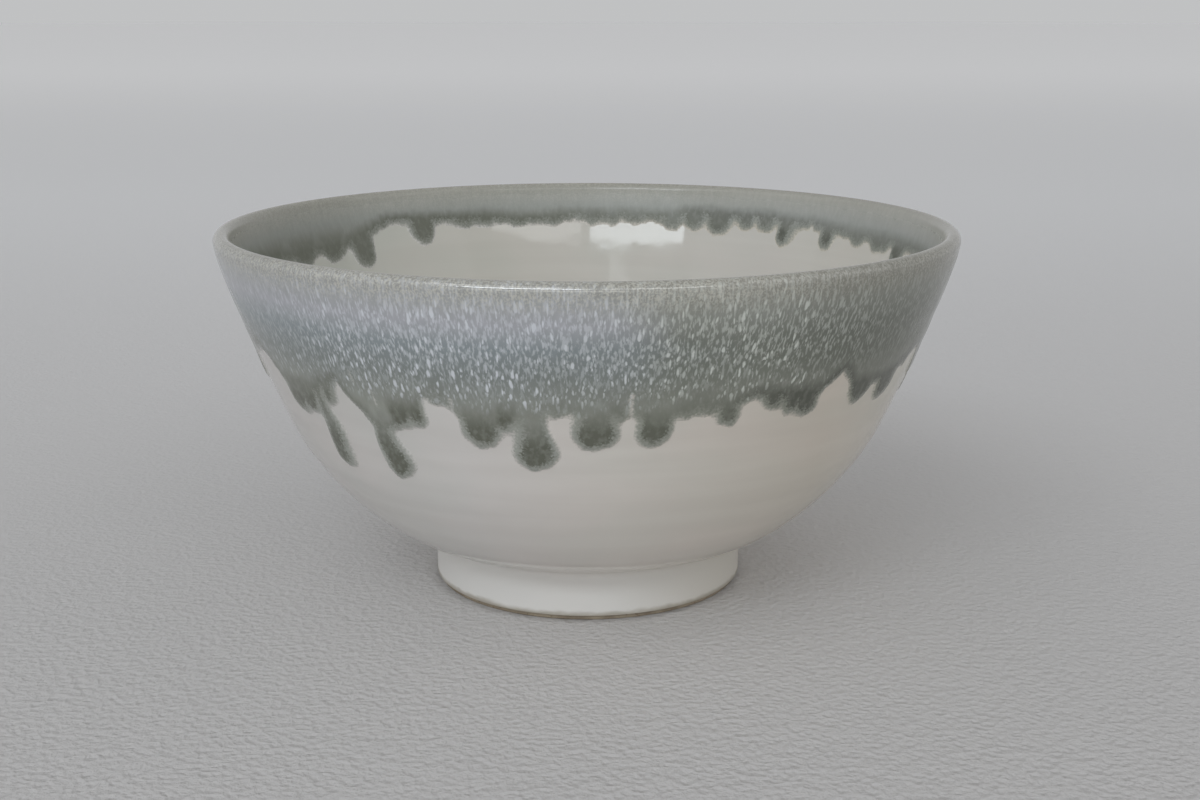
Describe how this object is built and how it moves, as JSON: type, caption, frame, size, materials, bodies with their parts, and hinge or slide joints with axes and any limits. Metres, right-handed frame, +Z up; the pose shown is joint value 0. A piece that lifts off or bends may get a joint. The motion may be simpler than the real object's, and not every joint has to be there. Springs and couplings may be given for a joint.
{
  "type": "matcha bowl",
  "caption": "Stoneware matcha bowl on a low foot ring, white glazed inside and out, with a grey glaze run down from the lip.",
  "frame": {"origin": "centre of the foot ring's resting face, at the table", "axes": "+Z up the bowl's axis through its mouth; -Y towards the side with the paired long glaze runs at its left; +X to the right of that side"},
  "size_m": [0.141, 0.141, 0.07],
  "materials": {
    "stoneware": "unglazed fired clay, matt light brown",
    "white_glaze": "glossy off-white glaze with faint throwing rings",
    "grey_glaze": "glossy grey glaze, streaked bluish grey above and dark olive at the ends of its runs"
  },
  "bodies": {
    "root": {"clay_bowl": "stoneware", "foot_ring": "stoneware", "outer_white_glaze": "white_glaze", "inner_white_glaze": "white_glaze", "recess_white_glaze": "white_glaze", "grey_rim_glaze": "grey_glaze"}
  },
  "joints": []
}
